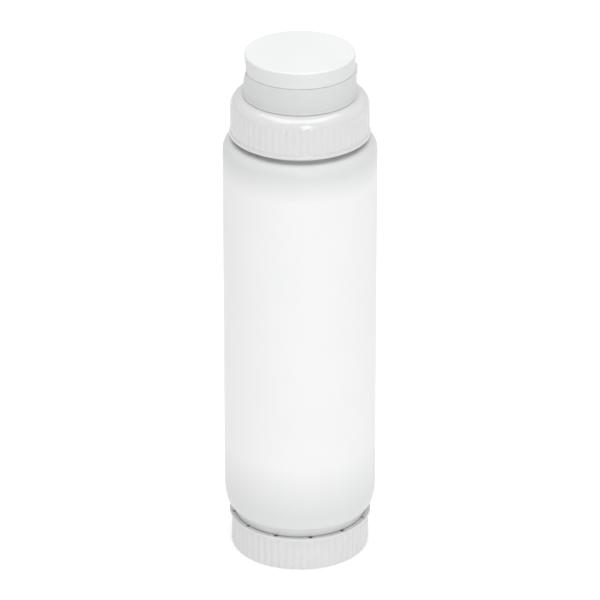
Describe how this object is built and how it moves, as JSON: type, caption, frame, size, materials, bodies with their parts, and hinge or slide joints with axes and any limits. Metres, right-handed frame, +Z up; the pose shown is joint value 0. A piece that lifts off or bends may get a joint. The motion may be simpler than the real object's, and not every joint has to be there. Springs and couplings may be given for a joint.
{
  "type": "squeeze sauce bottle",
  "caption": "Round squeeze bottle for sauces, open at both ends, with a fluted refill screw cap at the foot and a fluted screw cap with slit valve and hinged flip lid at the head.",
  "frame": {"origin": "centre of the foot's flat face, on the bottle's axis", "axes": "+Z up the bottle's axis towards the flip lid; -X towards the lid's hinge; +X towards the lid's lift tab; the picture looks along +Y"},
  "size_m": [0.07, 0.07, 0.2472],
  "materials": {
    "bottle": "frosted translucent low-density polyethylene, faintly satin",
    "refill_cap": "natural uncoloured polypropylene, slightly milky, satin",
    "head_cap": "white polypropylene, glossy",
    "flip_cap": "white polypropylene, satin",
    "silicone": "clear white silicone, satin",
    "gasket": "white foamed polyethylene, matte"
  },
  "bodies": {
    "bottle": {"bottle_body": "bottle"},
    "refill_seal": {"refill_cap_gasket": "gasket"},
    "refill": {"refill_cap": "refill_cap"},
    "head_seal": {"dispensing_cap_gasket": "gasket"},
    "head": {"dispensing_cap": "head_cap", "silicone_valve": "silicone", "valve_retainer": "head_cap", "flip_base": "flip_cap", "living_hinge": "flip_cap"},
    "lid": {"flip_lid": "flip_cap"}
  },
  "joints": [
    {"name": "refill_cap_travel", "type": "slide", "parent": "bottle", "child": "refill_seal", "axis": [0, 0, -1], "range_m": [0, 0.00525]},
    {"name": "refill_cap_turn", "type": "hinge", "parent": "refill_seal", "child": "refill", "pos_m": [0, 0, 0], "axis": [0, 0, -1], "range_deg": [0, 450]},
    {"name": "head_cap_travel", "type": "slide", "parent": "bottle", "child": "head_seal", "axis": [0, 0, 1], "range_m": [0, 0.00525]},
    {"name": "head_cap_turn", "type": "hinge", "parent": "head_seal", "child": "head", "pos_m": [0, 0, 0.227], "axis": [0, 0, 1], "range_deg": [0, 450]},
    {"name": "lid_hinge", "type": "hinge", "parent": "head", "child": "lid", "pos_m": [-0.024, 0, 0.2396], "axis": [0, -1, 0], "range_deg": [0, 150], "deforming": ["living_hinge"]}
  ],
  "couplings": [
    {"joint": "refill_cap_travel", "follows": "refill_cap_turn", "m_per_rad": 0.00066845},
    {"joint": "head_cap_travel", "follows": "head_cap_turn", "m_per_rad": 0.00066845}
  ]
}
